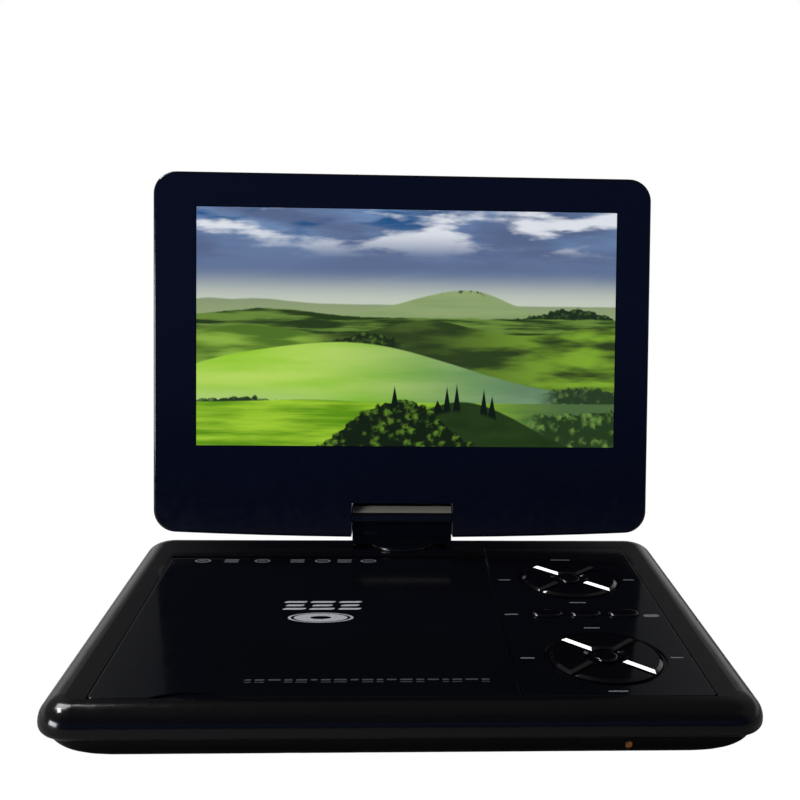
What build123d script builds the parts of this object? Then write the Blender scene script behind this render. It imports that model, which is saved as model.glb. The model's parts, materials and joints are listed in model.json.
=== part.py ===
from build123d import *
import os
from math import cos, radians, sin

# Portable disc player: a flat base holding the disc drive, keys and battery, and a
# nine-inch screen that tilts and turns on a hinge at the middle of the base's rear edge.
# Millimetres, +Z up, the table at Z = 0. X runs across the base, -Y is the user's side.
# The origin is on the table, under the middle of the whole player with its screen up.

# --- driving dimensions: base ----------------------------------------------------------
base_y = -13.0  # the line that the base's lengths are measured from
base_w = 245.0  # over the rim
base_front = -87.0
base_rear = 92.0
base_mid = (base_front + base_rear) / 2
base_d = base_rear - base_front
rim_r = 13.0  # plan radius of the rim's corners
rim_z = 13.5  # height of the rim's widest line
rim_in = 9.0  # width of the rounded rim
hull_z = 1.0  # underside of the hull
hull_inset = 3.2  # the hull's upper edge from the rim's widest line
hull_r = 10.0  # plan radius of the hull's corners at its upper edge
side_sweep = 25.0  # how far the hull's sides draw in on their way down
end_sweep = 10.5  # and its front and rear
hull_r_gain = 5.0  # how much its corner radius grows on the way down
parting_z = 10.5  # where the two shells meet
deck_z = 22.0  # the flat top
floor_z = 17.0  # underside of the deck under the lid
wall = 2.0
seam = 0.4  # gap between parts of the flat top
edge_r = 0.3  # broken edges of the lid and the key panel

# --- driving dimensions: flat top -------------------------------------------------------
top_w = 211.0
top_front = -77.5
top_rear = 74.0
split_x = 39.3  # the lid is to the left of this line, the key panel to the right
lid_t = 2.4
lid_axis_y = 58.0
lid_axis_z = 19.0
lid_barrel_r = 3.0
pin_r = 0.8
panel_t = 2.0

# --- driving dimensions: disc drive -----------------------------------------------------
disc_x = -33.0
disc_y = -8.0
well_r = 62.0
well_z = 14.2  # the well's floor
hub_z = 15.8  # the face that the disc lies on
plate_z = 9.0  # underside of the drive's chassis plate
lens_at = 23.5  # the lens from the spindle, at the inner end of its travel
lens_r = 2.4

# --- driving dimensions: keys -----------------------------------------------------------
pad_x = 73.5
pad_ys = {"upper": 31.0, "lower": -48.0}
dish_r = 22.5
petal_outer = 20.6
petal_inner = 6.8
petal_gap = 1.6
centre_r = 4.6
oval_y = -7.5
oval_xs = {"left": 58.0, "middle": 73.5, "right": 89.0}
oval_rx = 6.2
oval_ry = 3.6
key_gap = 0.25  # clearance round a key in its hole
key_lip = 0.5  # how far a key's flange passes under the panel
key_top = 23.0
stem_z = 17.6  # the lower end of a key's stem
dome_z = 16.9
dome_t = 0.7
dome_r = 2.5
stem_r = 13.7  # a petal's stem from the middle of its pad

# --- driving dimensions: hinge and screen -----------------------------------------------
hinge_y = 82.0  # the swivel and tilt axes cross here
tilt_z = 34.5
lean = 8.7  # degrees back from upright at rest
screen_w = 234.0
screen_low = -5.4  # bottom corners, measured up the panel from the tilt axis
screen_high = 163.0
screen_bow = 2.8  # how far the lower edge dips in the middle
screen_r = 10.5
screen_front = 9.5  # the front face, measured forward from the tilt axis
screen_back = -7.5
bezel_t = 4.0
lcd_w = 198.0
lcd_h = 111.7
lcd_x = 1.8  # the picture is a little to the right
lcd_low = 35.2
neck_w = 47.4
barrel_r = 7.0
notch_w = 48.2
notch_r = 8.2
turntable_r = 15.5
hub_r = 19.5  # the upper shell's boss round the swivel
housing_r = 18.0  # the lower shell's housing under it
housing_z = 2.0
shaft_r = 6.0
shaft_bore_r = 4.0
tilt_shaft_r = 2.4
cable_r = 1.4

os.makedirs("parts", exist_ok=True)


def level(z):
    """A horizontal plane at height z."""
    return Plane(origin=(0, base_y, z))


def side(x):
    """An upright plane across X; sketches on it are in (Y of the base, Z)."""
    return Plane(origin=(x, base_y, 0), x_dir=(0, 1, 0), z_dir=(1, 0, 0))


def facing(y):
    """An upright plane facing the user at y of the base; sketches on it are in (X, Z)."""
    return Plane(origin=(0, base_y + y, 0), x_dir=(1, 0, 0), z_dir=(0, -1, 0))


def screen_plane(forward):
    """A plane in the leaning screen; its Y runs up the panel from the tilt axis."""
    at_axis = Plane(
        origin=(0, base_y + hinge_y, tilt_z),
        x_dir=(1, 0, 0),
        z_dir=(0, -cos(radians(lean)), sin(radians(lean))),
    )
    return at_axis.offset(forward)


def petal_sketch(turn, grow=0.0):
    """A quarter of a pad: a ring sector with straight sides, pointing along turn."""
    apex = (petal_gap / 2 - grow) / sin(radians(45))
    reach = 2 * petal_outer
    with BuildSketch() as petal:
        Circle(petal_outer + grow)
        Circle(petal_inner - grow, mode=Mode.SUBTRACT)
        with BuildLine():
            Polyline((apex, 0), (apex + reach, reach), (apex + reach, -reach), close=True)
        make_face(mode=Mode.INTERSECT)
    return petal.sketch.rotate(Axis.Z, turn)


def hull_form(inset, floor):
    """The hull's outside, or its hollow: rounded outlines that draw in towards the floor."""
    width = base_w - 2 * hull_inset - 2 * inset
    depth = base_d - 2 * hull_inset - 2 * inset
    with BuildPart() as form:
        for turn in (0, 30, 50, 70, 90):
            draw = 1 - cos(radians(turn))
            with BuildSketch(level(parting_z - (parting_z - floor) * sin(radians(turn)))):
                with Locations((0, base_mid)):
                    RectangleRounded(
                        width - 2 * side_sweep * draw,
                        depth - 2 * end_sweep * draw,
                        hull_r + hull_r_gain * draw,
                    )
        loft()
    return form.part


# --- hull -------------------------------------------------------------------------------
floor_top = hull_z + wall
hull_front = base_front + hull_inset
screw_spots = [(-103.5, -66), (-103.5, 66), (103.5, -66), (103.5, 66), (38, -68), (38, 68)]
screw_seat = 3.6  # where the heads of the case screws bear
screw_top = 15.8
post_top = 11.9  # where the two shells' screw posts meet
post_r = 3.5
case_screw_r = 1.1
case_head_r = 2.4
cross_len = 2.6  # the cross recess in a screw's head
cross_w = 0.7
cross_depth = 0.8
foot_spots = [(-88, -46), (-88, 48), (88, -46), (88, 48)]
damper_spots = [(-66, -74), (0, -74), (-66, 16), (0, 16)]
damper_z = 5.2
damper_r = 3.2
board_z = 5.0
board_posts = [(44, -46), (88, -46), (44, 54), (88, 54)]
board_post_r = 2.5
speaker_spots = [(-82, -61.5), (74, -61.5)]
speaker_r = 9.5
grille_len = 12.0
grille_w = 1.3
grille_step = 2.6
foot_r = 5.0
foot_top = 1.6
# The sockets face a bay cut into the hull's right side.
port_x = 108.0
port_z = 6.4
bay_ends = (-61, 55)
bay_z = 2.4
jack_spots = {"power": 30.0, "video": 14.0, "headphone": 0.0}
jack_r = 3.2
jack_mouth = port_x - 0.1
socket_room = 16.0  # room for the sockets behind the bay's wall
socket_gap = 0.1  # round a socket in its hole
switch_y = 46.0
switch_travel = 3.0
switch_len = 5.0
usb_y = -20.0
usb_w = 13.1
usb_h = 5.7
card_y = -44.0
card_z = 8.3
card_w = 26.0
card_h = 3.2
ir_x = 75.0
ir_z = 7.0

with BuildPart() as hull_space:
    add(hull_form(wall, floor_top))
    with BuildSketch(level(parting_z)):
        with Locations((0, base_mid)):
            RectangleRounded(
                base_w - 2 * hull_inset - 2 * wall, base_d - 2 * hull_inset - 2 * wall, hull_r
            )
    extrude(amount=1)
    with BuildSketch(level(0)):
        with Locations((port_x + base_w / 2, (bay_ends[0] + bay_ends[1]) / 2)):
            Rectangle(base_w + 2 * wall, bay_ends[1] - bay_ends[0] + 2 * wall)
    extrude(amount=deck_z, mode=Mode.SUBTRACT)

with BuildPart() as bottom_case:
    add(hull_form(0, hull_z))
    add(hull_space.part, mode=Mode.SUBTRACT)
    with BuildSketch(level(bay_z)):
        with Locations((port_x + base_w / 2, (bay_ends[0] + bay_ends[1]) / 2)):
            Rectangle(base_w, bay_ends[1] - bay_ends[0])
    extrude(amount=deck_z, mode=Mode.SUBTRACT)
    # The round housing under the hinge, open inside.
    with BuildSketch(level(housing_z)):
        with Locations((0, hinge_y)):
            Circle(housing_r)
    extrude(amount=parting_z - housing_z)
    with BuildSketch(level(housing_z + wall)):
        with Locations((0, hinge_y)):
            Circle(housing_r - wall)
    extrude(amount=parting_z, mode=Mode.SUBTRACT)
    # Screw posts, chassis posts and board posts stand on the floor.
    for spots, radius, top in (
        (screw_spots, post_r, post_top),
        (damper_spots, damper_r - 0.2, damper_z),
        (board_posts, board_post_r, board_z),
    ):
        with BuildSketch(level(floor_top)):
            with Locations(*spots):
                Circle(radius)
        extrude(amount=top - floor_top)
    # Screw holes with sunk heads, and shallow seats for the feet.
    for spots, radius, top in (
        (screw_spots, case_screw_r + 0.2, post_top),
        (screw_spots, case_head_r + 0.3, screw_seat),
        (foot_spots, foot_r, foot_top),
    ):
        with BuildSketch(level(0)):
            with Locations(*spots):
                Circle(radius)
        extrude(amount=top, mode=Mode.SUBTRACT)
    # Speaker slots through the floor.
    with BuildSketch(level(0)):
        for spot in speaker_spots:
            with Locations(spot):
                with GridLocations(0, grille_step, 1, 5):
                    SlotOverall(grille_len, grille_w)
    extrude(amount=floor_top + 0.5, mode=Mode.SUBTRACT)
    # Ports through the bay's wall, and the receiver's hole in the front.
    with BuildSketch(side(port_x - socket_room)):
        with Locations(*[(y, port_z) for y in jack_spots.values()]):
            Circle(jack_r + socket_gap)
        with Locations((switch_y, port_z + 1)):
            SlotOverall(switch_len + switch_travel + 1.2, 3.2)
        with Locations((usb_y, port_z)):
            Rectangle(usb_w + 2 * socket_gap, usb_h + 2 * socket_gap)
        with Locations((card_y, card_z)):
            Rectangle(card_w + 2 * socket_gap, card_h + 2 * socket_gap)
    extrude(amount=socket_room + wall, mode=Mode.SUBTRACT)
    with BuildSketch(facing(hull_front + 5)):
        with Locations((ir_x, ir_z)):
            Circle(1.6)
    extrude(amount=8, mode=Mode.SUBTRACT)
bottom_case.part.label = "bottom_case"
export_step(bottom_case.part, "parts/bottom_case.step")

# --- upper shell with the rounded rim and the disc well ----------------------------------
with BuildSketch(level(rim_z)) as rim_outline:
    with Locations((0, base_mid)):
        RectangleRounded(base_w, base_d, rim_r)
rim_wire = rim_outline.sketch.wires()[0]
rim_along = rim_wire % 0
rim_outward = rim_along.cross(Vector(0, 0, 1))
rim_section = Plane(rim_wire @ 0, x_dir=rim_outward, z_dir=-rim_along)
top_mid = (top_front + top_rear) / 2
top_len = top_rear - top_front
lid_left = -top_w / 2
lid_right = split_x - seam
lid_rear = lid_axis_y + lid_barrel_r
block_w = base_w - 2 * rim_in
block_d = base_d - 2 * rim_in
window_x = (43.2, 99.5)  # the opening under the key panel
tongue_spots = [(disc_x - 32, top_front + 2.2), (disc_x + 32, top_front + 2.2)]
nut_ceiling = 16.0  # over the swivel's nut and washer
nut_space_r = 13.0

with BuildPart() as top_case:
    # The rim's section, measured outward and up from its widest line.
    with BuildSketch(rim_section):
        with BuildLine():
            crown = Spline(
                (-rim_in - 0.5, deck_z - rim_z),
                (-2.6, 6.1),
                (0, 0),
                tangents=[(1, 0), (0, -1)],
            )
            skirt = Spline(
                (0, 0),
                (-0.9, -2.0),
                (-hull_inset, parting_z - rim_z),
                tangents=[(0, -1), (-1, -0.2)],
            )
            Polyline(
                skirt @ 1,
                (-hull_inset - wall, parting_z - rim_z),
                (-wall - 0.6, -0.6),
                (-wall - 0.2, 1.0),
                (-wall - 2.2, 4.7),
                (-rim_in - 0.5, deck_z - rim_z - wall),
                crown @ 0,
            )
        make_face()
    sweep(path=rim_wire)
    # The deck block, then its pockets for the lid and the key panel.
    with BuildSketch(level(floor_z)):
        with Locations((0, base_mid)):
            RectangleRounded(block_w, block_d, rim_r - rim_in)
    extrude(amount=deck_z - floor_z)
    with BuildSketch(level(parting_z)):
        with Locations((0, hinge_y)):
            Circle(hub_r)
    extrude(amount=deck_z - parting_z)
    with BuildSketch(level(well_z - 1.4)):
        with Locations((disc_x, disc_y)):
            Circle(well_r + wall)
    extrude(amount=floor_z - well_z + 2)
    with BuildSketch(level(lid_axis_z - lid_barrel_r - 2.0)):
        with Locations(((lid_left + lid_right) / 2, lid_axis_y)):
            Rectangle(lid_right - lid_left, 2 * lid_barrel_r + 4)
    extrude(amount=3.5)
    with BuildSketch(level(post_top)):
        with Locations(*screw_spots):
            Circle(post_r)
    extrude(amount=floor_z + 0.1 - post_top)
    with BuildSketch(level(deck_z - lid_t - 1.2)):
        with Locations(((lid_left - seam + split_x) / 2, (top_front - seam + lid_rear + seam) / 2)):
            Rectangle(split_x - lid_left + seam, lid_rear - top_front + 2 * seam)
    extrude(amount=5, mode=Mode.SUBTRACT)
    with BuildSketch(level(deck_z - panel_t)):
        with Locations(((split_x + top_w / 2 + seam) / 2, top_mid)):
            Rectangle(top_w / 2 + seam - split_x, top_len + 2 * seam)
    extrude(amount=5, mode=Mode.SUBTRACT)
    with BuildSketch(level(parting_z)):
        with Locations(((window_x[0] + window_x[1]) / 2, top_mid)):
            Rectangle(window_x[1] - window_x[0], top_len - 7)
    extrude(amount=deck_z - parting_z, mode=Mode.SUBTRACT)
    with BuildSketch(level(well_z)):
        with Locations((disc_x, disc_y)):
            Circle(well_r)
    extrude(amount=8, mode=Mode.SUBTRACT)
    # The spindle's hole, and the slot that the lens looks through.
    with BuildSketch(level(well_z - 3)):
        with Locations((disc_x, disc_y)):
            Circle(9)
        with Locations((disc_x, disc_y - (8 + well_r - 0.4) / 2)):
            Rectangle(28, well_r - 0.4 - 8)
    extrude(amount=4, mode=Mode.SUBTRACT)
    # A trough for the lid's barrel, holes for its pins, and slots for its two tongues.
    with BuildSketch(side(lid_left - seam)):
        with Locations((lid_axis_y, lid_axis_z)):
            Circle(lid_barrel_r + 0.4)
    extrude(amount=split_x - lid_left + seam, mode=Mode.SUBTRACT)
    with BuildSketch(side(lid_left - 3.6)):
        with Locations((lid_axis_y, lid_axis_z)):
            Circle(pin_r + 0.05)
    extrude(amount=split_x - lid_left + 6.2, mode=Mode.SUBTRACT)
    with BuildSketch(level(parting_z)):
        with Locations(*tongue_spots):
            Rectangle(8.0, 2.6)
    extrude(amount=8, mode=Mode.SUBTRACT)
    # The swivel's bore and the space for its nut, and the screws' pilot holes.
    with BuildSketch(level(parting_z - 1)):
        with Locations((0, hinge_y)):
            Circle(shaft_r + 0.05)
    extrude(amount=deck_z, mode=Mode.SUBTRACT)
    with BuildSketch(level(parting_z - 1)):
        with Locations((0, hinge_y)):
            Circle(nut_space_r)
    extrude(amount=nut_ceiling - parting_z + 1, mode=Mode.SUBTRACT)
    with BuildSketch(level(post_top)):
        with Locations(*screw_spots):
            Circle(case_screw_r)
    extrude(amount=screw_top + 0.5 - post_top, mode=Mode.SUBTRACT)
top_case.part.label = "top_case"
export_step(top_case.part, "parts/top_case.step")

# --- key panel ---------------------------------------------------------------------------
panel_x = (split_x + top_w / 2) / 2
panel_post_spots = [(50, 50), (95, 50), (50, -71), (95, -71)]
with BuildPart() as control_panel:
    with BuildSketch(level(deck_z - panel_t)):
        with Locations((panel_x, top_mid)):
            Rectangle(top_w / 2 - split_x, top_len)
    extrude(amount=panel_t)
    fillet(control_panel.edges().filter_by(Axis.Z).group_by(Axis.X)[-1], radius=1.7)
    fillet(control_panel.faces().sort_by(Axis.Z)[-1].edges(), radius=edge_r)
    for y in pad_ys.values():
        with BuildSketch(level(deck_z - 0.6)):
            with Locations((pad_x, y)):
                Circle(dish_r)
        extrude(amount=1, mode=Mode.SUBTRACT)
        with BuildSketch(level(deck_z - panel_t)):
            with Locations((pad_x, y)):
                Circle(centre_r + key_gap)
                for turn in (0, 90, 180, 270):
                    add(petal_sketch(turn, key_gap))
        extrude(amount=panel_t, mode=Mode.SUBTRACT)
    with BuildSketch(level(deck_z - panel_t)):
        with Locations(*[(x, oval_y) for x in oval_xs.values()]):
            Ellipse(oval_rx + key_gap, oval_ry + key_gap)
    extrude(amount=panel_t, mode=Mode.SUBTRACT)
    with BuildSketch(level(dome_z - dome_t)):
        with Locations(*panel_post_spots):
            Circle(2)
    extrude(amount=deck_z - panel_t - dome_z + dome_t)
control_panel.part.label = "control_panel"
export_step(control_panel.part, "parts/control_panel.step")

# --- keys: eight petals, two round centre keys and three ovals ----------------------------
flange_z = 18.6
flange_top = deck_z - panel_t - 0.1

for pad, y in pad_ys.items():
    for place, turn in {"right": 0, "back": 90, "left": 180, "front": 270}.items():
        name = f"{pad}_pad_{place}"
        with BuildPart() as petal_key:
            with BuildSketch(level(flange_z)):
                with Locations((pad_x, y)):
                    add(petal_sketch(turn))
            extrude(amount=key_top - flange_z)
            chamfer(petal_key.faces().sort_by(Axis.Z)[-1].edges(), length=0.7, length2=1.3)
            with BuildSketch(level(flange_z)):
                with Locations((pad_x, y)):
                    add(petal_sketch(turn, key_lip))
            extrude(amount=flange_top - flange_z)
            with BuildSketch(level(stem_z)):
                with Locations((pad_x + stem_r * cos(radians(turn)), y + stem_r * sin(radians(turn)))):
                    Circle(1.5)
            extrude(amount=flange_z - stem_z)
        petal_key.part.label = name
        export_step(petal_key.part, f"parts/{name}.step")

    name = f"{pad}_pad_centre"
    with BuildPart() as centre_key:
        with BuildSketch(level(stem_z)):
            with Locations((pad_x, y)):
                Circle(1.5)
        extrude(amount=flange_z - stem_z)
        with BuildSketch(level(flange_z)):
            with Locations((pad_x, y)):
                Circle(centre_r + key_lip)
        extrude(amount=flange_top - flange_z)
        with BuildSketch(level(flange_top)):
            with Locations((pad_x, y)):
                Circle(centre_r)
        extrude(amount=key_top - flange_top)
        fillet(centre_key.faces().sort_by(Axis.Z)[-1].edges(), radius=0.9)
    centre_key.part.label = name
    export_step(centre_key.part, f"parts/{name}.step")

for place, x in oval_xs.items():
    name = f"oval_button_{place}"
    with BuildPart() as oval_key:
        with BuildSketch(level(stem_z)):
            with Locations((x, oval_y)):
                Circle(1.5)
        extrude(amount=flange_z - stem_z)
        with BuildSketch(level(flange_z)):
            with Locations((x, oval_y)):
                Ellipse(oval_rx + key_lip, oval_ry + key_lip)
        extrude(amount=flange_top - flange_z)
        with BuildSketch(level(flange_top)):
            with Locations((x, oval_y)):
                Ellipse(oval_rx, oval_ry)
        extrude(amount=key_top - flange_top)
        fillet(oval_key.faces().sort_by(Axis.Z)[-1].edges(), radius=0.8)
    oval_key.part.label = name
    export_step(oval_key.part, f"parts/{name}.step")

# --- key circuit board and its snap domes --------------------------------------------------
dome_spots = [(x, oval_y) for x in oval_xs.values()]
for y in pad_ys.values():
    dome_spots.append((pad_x, y))
    for turn in (0, 90, 180, 270):
        dome_spots.append((pad_x + stem_r * cos(radians(turn)), y + stem_r * sin(radians(turn))))

with BuildPart() as key_board:
    with BuildSketch(level(dome_z - dome_t - 1.2)):
        with Locations(((46.5 + 98.5) / 2, -10.5)):
            RectangleRounded(52, 127, 2)
    extrude(amount=1.2)
key_board.part.label = "key_board"
export_step(key_board.part, "parts/key_board.step")

with BuildPart() as key_domes:
    with BuildSketch(level(dome_z - dome_t)):
        with Locations(*dome_spots):
            Circle(dome_r)
    extrude(amount=dome_t)
    chamfer(key_domes.faces().group_by(Axis.Z)[-1].edges(), length=0.4, length2=1.0)
key_domes.part.label = "key_domes"
export_step(key_domes.part, "parts/key_domes.step")

# --- disc lid and its hinge pins ----------------------------------------------------------
notch_x = -72.0  # thumb notch in the lid's front edge
with BuildPart() as disc_lid:
    with BuildSketch(level(deck_z - lid_t)):
        with Locations(((lid_left + lid_right) / 2, (top_front + lid_axis_y) / 2)):
            Rectangle(lid_right - lid_left, lid_axis_y - top_front)
    extrude(amount=lid_t)
    fillet(
        disc_lid.edges().filter_by(Axis.Z).group_by(Axis.Y)[0].sort_by(Axis.X)[0],
        radius=1.7,
    )
    top_edges = disc_lid.faces().sort_by(Axis.Z)[-1].edges()
    fillet(top_edges, radius=edge_r)
    with BuildSketch(side(lid_left)):
        with Locations((lid_axis_y, lid_axis_z)):
            Circle(lid_barrel_r)
    extrude(amount=lid_right - lid_left)
    # Stiffening ribs under the plate.
    with BuildSketch(level(deck_z - lid_t - 0.9)):
        with Locations((lid_left + 4, -8), (lid_right - 4, -8)):
            Rectangle(1.6, 110)
        with Locations((disc_x, top_front + 5)):
            Rectangle(126, 1.6)
    extrude(amount=0.9)
    # Tongues that snap into the upper shell.
    with BuildSketch(level(deck_z - lid_t - 3.6)):
        with Locations(*tongue_spots):
            Rectangle(7.0, 1.2)
    extrude(amount=3.6)
    with BuildSketch(level(deck_z - 0.8)):
        with Locations((notch_x, top_front - 21)):
            Circle(25)
    extrude(amount=2, mode=Mode.SUBTRACT)
    with BuildSketch(side(lid_left)):
        with Locations((lid_axis_y, lid_axis_z)):
            Circle(pin_r)
    extrude(amount=10, mode=Mode.SUBTRACT)
    with BuildSketch(side(lid_right - 10)):
        with Locations((lid_axis_y, lid_axis_z)):
            Circle(pin_r)
    extrude(amount=10, mode=Mode.SUBTRACT)
disc_lid.part.label = "disc_lid"
export_step(disc_lid.part, "parts/disc_lid.step")

with BuildPart() as lid_hinge_pins:
    for start in (lid_left - 3.0, lid_right - 10):
        with BuildSketch(side(start)):
            with Locations((lid_axis_y, lid_axis_z)):
                Circle(pin_r)
        extrude(amount=12.8 if start > 0 else 13.0)
lid_hinge_pins.part.label = "lid_hinge_pins"
export_step(lid_hinge_pins.part, "parts/lid_hinge_pins.step")

# --- disc drive ---------------------------------------------------------------------------
plate_t = 1.2
plate_w = 74.0
plate_ends = (-80.0, 22.0)
lug_h = 3.2  # the lugs that hold the guide rods
motor_r = 11.5
motor_h = 4.9
axle_r = 0.75
axle_foot = 6.3
flange_r = 13.0  # the hub's flange, under the disc
flange_t = 1.2
sled_inner = 14.5  # the sled's inner end from the spindle
sled_len = 18.5
sled_travel = 34.0
sled_w = 41.0
sled_z = 5.6
sled_t = 3.1
turret_z = 12.4  # the top of the sled's upper block
rod_dx = 17.5
rod_z = 7.6
rod_r = 1.5
screw_dx = 26.0
screw_z = 6.0
screw_r = 1.25
sled_motor_r = 2.85
sled_y = disc_y - sled_inner - sled_len / 2
rod_ends = (disc_y - sled_inner - sled_len - sled_travel - 3, disc_y - 11)

with BuildPart() as drive_chassis:
    with BuildSketch(level(plate_z)):
        with Locations((disc_x, (plate_ends[0] + plate_ends[1]) / 2)):
            RectangleRounded(plate_w, plate_ends[1] - plate_ends[0], 4)
        with Locations((disc_x, disc_y - 41)):
            Rectangle(38, 55.4, mode=Mode.SUBTRACT)
        with Locations((disc_x, disc_y)):
            Circle(4, mode=Mode.SUBTRACT)
    extrude(amount=plate_t)
    # Lugs that hold the ends of the guide rods.
    with BuildSketch(level(plate_z - lug_h)):
        for y in (rod_ends[0] + 1, rod_ends[1] - 1):
            with Locations((disc_x - rod_dx - 1.8, y), (disc_x + rod_dx + 1.8, y)):
                Rectangle(7, 2)
    extrude(amount=lug_h)
    for dx in (-rod_dx, rod_dx):
        with BuildSketch(facing(rod_ends[1] + 1)):
            with Locations((disc_x + dx, rod_z)):
                Circle(rod_r)
        extrude(amount=rod_ends[1] - rod_ends[0] + 2, mode=Mode.SUBTRACT)
drive_chassis.part.label = "drive_chassis"
export_step(drive_chassis.part, "parts/drive_chassis.step")

with BuildPart() as guide_rods:
    with BuildSketch(facing(rod_ends[1])):
        with Locations((disc_x - rod_dx, rod_z), (disc_x + rod_dx, rod_z)):
            Circle(rod_r)
    extrude(amount=rod_ends[1] - rod_ends[0])
guide_rods.part.label = "guide_rods"
export_step(guide_rods.part, "parts/guide_rods.step")

with BuildPart() as drive_dampers:
    with BuildSketch(level(damper_z)):
        with Locations(*damper_spots):
            Circle(damper_r)
            Circle(1.2, mode=Mode.SUBTRACT)
    extrude(amount=plate_z - damper_z)
    outer_edges = drive_dampers.edges().filter_by(lambda edge: edge.geom_type == GeomType.CIRCLE)
    fillet(outer_edges.filter_by(lambda edge: edge.radius > damper_r / 2), radius=0.8)
drive_dampers.part.label = "drive_dampers"
export_step(drive_dampers.part, "parts/drive_dampers.step")

with BuildPart() as spindle_motor:
    with BuildSketch(level(plate_z - motor_h)):
        with Locations((disc_x, disc_y)):
            Circle(motor_r)
    extrude(amount=motor_h)
    fillet(spindle_motor.faces().sort_by(Axis.Z)[0].edges(), radius=1.0)
    with BuildSketch(level(axle_foot - 0.2)):
        with Locations((disc_x, disc_y)):
            Circle(axle_r + 0.05)
    extrude(amount=plate_z - axle_foot + 0.2, mode=Mode.SUBTRACT)
spindle_motor.part.label = "spindle_motor"
export_step(spindle_motor.part, "parts/spindle_motor.step")

hub_cone_r = 7.3
ball_r = 0.95
with BuildPart() as spindle_hub:
    with BuildSketch(level(axle_foot)):
        with Locations((disc_x, disc_y)):
            Circle(axle_r)
    extrude(amount=hub_z - flange_t - axle_foot)
    with BuildSketch(level(hub_z - flange_t)):
        with Locations((disc_x, disc_y)):
            Circle(flange_r)
    extrude(amount=flange_t)
    with BuildSketch(level(hub_z)):
        with Locations((disc_x, disc_y)):
            Circle(hub_cone_r)
    extrude(amount=2.5)
    chamfer(spindle_hub.faces().sort_by(Axis.Z)[-1].edges(), length=1.0, length2=0.8)
    with BuildSketch(level(hub_z + 0.5)):
        with Locations((disc_x, disc_y)):
            with PolarLocations(hub_cone_r - 0.5, 3):
                Rectangle(2.4, 2.4)
    extrude(amount=2.0, mode=Mode.SUBTRACT)
spindle_hub.part.label = "spindle_hub"
export_step(spindle_hub.part, "parts/spindle_hub.step")

with BuildPart() as hub_balls:
    with Locations(Plane(origin=(disc_x, base_y + disc_y, hub_z + 1.5))):
        with PolarLocations(hub_cone_r - 0.7, 3):
            Sphere(ball_r)
hub_balls.part.label = "hub_balls"
export_step(hub_balls.part, "parts/hub_balls.step")

with BuildPart() as laser_sled:
    with BuildSketch(level(sled_z)):
        with Locations((disc_x, sled_y)):
            Rectangle(sled_w, sled_len)
        with Locations((disc_x + 22.2, sled_y - 5)):
            Rectangle(3.6, 8)
    extrude(amount=sled_t)
    with BuildSketch(level(sled_z + sled_t)):
        with Locations((disc_x, sled_y)):
            RectangleRounded(30, sled_len, 2)
    extrude(amount=turret_z - sled_z - sled_t)
    for dx in (-rod_dx, rod_dx):
        with BuildSketch(facing(sled_y + sled_len)):
            with Locations((disc_x + dx, rod_z)):
                Circle(rod_r + 0.06)
        extrude(amount=2 * sled_len, mode=Mode.SUBTRACT)
    with BuildSketch(level(turret_z)):
        with Locations((disc_x, disc_y - lens_at)):
            Rectangle(12, 7.2)
    extrude(amount=1.4)
    with BuildSketch(level(turret_z + 0.2)):
        with Locations((disc_x, disc_y - lens_at)):
            Circle(lens_r)
    extrude(amount=2, mode=Mode.SUBTRACT)
laser_sled.part.label = "laser_sled"
export_step(laser_sled.part, "parts/laser_sled.step")

with BuildPart() as pickup_lens:
    with BuildSketch(level(turret_z + 0.2)):
        with Locations((disc_x, disc_y - lens_at)):
            Circle(lens_r)
    extrude(amount=1.7)
    fillet(pickup_lens.faces().sort_by(Axis.Z)[-1].edges(), radius=0.6)
pickup_lens.part.label = "pickup_lens"
export_step(pickup_lens.part, "parts/pickup_lens.step")

screw_start = disc_y - 22
screw_len = 47.0
sled_motor_len = 14.0
with BuildPart() as sled_motor:
    with BuildSketch(facing(screw_start + sled_motor_len)):
        with Locations((disc_x + screw_dx, screw_z)):
            Circle(sled_motor_r)
    extrude(amount=sled_motor_len)
    with BuildSketch(facing(screw_start + 4)):
        with Locations((disc_x + screw_dx, screw_z)):
            Circle(screw_r + 0.06)
    extrude(amount=4, mode=Mode.SUBTRACT)
sled_motor.part.label = "sled_motor"
export_step(sled_motor.part, "parts/sled_motor.step")

with BuildPart() as lead_screw:
    with BuildSketch(facing(screw_start + 3.8)):
        with Locations((disc_x + screw_dx, screw_z)):
            Circle(screw_r)
    extrude(amount=screw_len + 3.8)
    with BuildSketch(facing(screw_start - screw_len)):
        with Locations((disc_x + screw_dx, screw_z)):
            Circle(0.6)
    extrude(amount=1.5)
lead_screw.part.label = "lead_screw"
export_step(lead_screw.part, "parts/lead_screw.step")

# --- electronics, battery and sound ---------------------------------------------------------
board_t = 1.6
with BuildPart() as main_board:
    with BuildSketch(level(board_z)):
        with Locations((66, 5)):
            RectangleRounded(55, 110, 1.5)
    extrude(amount=board_t)
main_board.part.label = "main_board"
export_step(main_board.part, "parts/main_board.step")

chip_sizes = {
    (62, 22): (20, 20, 1.6),
    (82, 38): (14, 8, 1.2),
    (58, -12): (10, 14, 1.2),
    (84, 2): (9, 9, 1.4),
}
with BuildPart() as board_chips:
    for (x, y), (long, wide, high) in chip_sizes.items():
        with BuildSketch(level(board_z + board_t)):
            with Locations((x, y)):
                Rectangle(long, wide)
        extrude(amount=high)
board_chips.part.label = "board_chips"
export_step(board_chips.part, "parts/board_chips.step")

with BuildPart() as battery_pack:
    with BuildSketch(level(floor_top + 0.3)):
        with Locations((-85.5, -26.5), (-85.5, 25.5)):
            RectangleRounded(24, 50, 2)
    extrude(amount=8.5)
    fillet(battery_pack.faces().group_by(Axis.Z)[-1].edges(), radius=1.2)
battery_pack.part.label = "battery_pack"
export_step(battery_pack.part, "parts/battery_pack.step")

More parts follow.
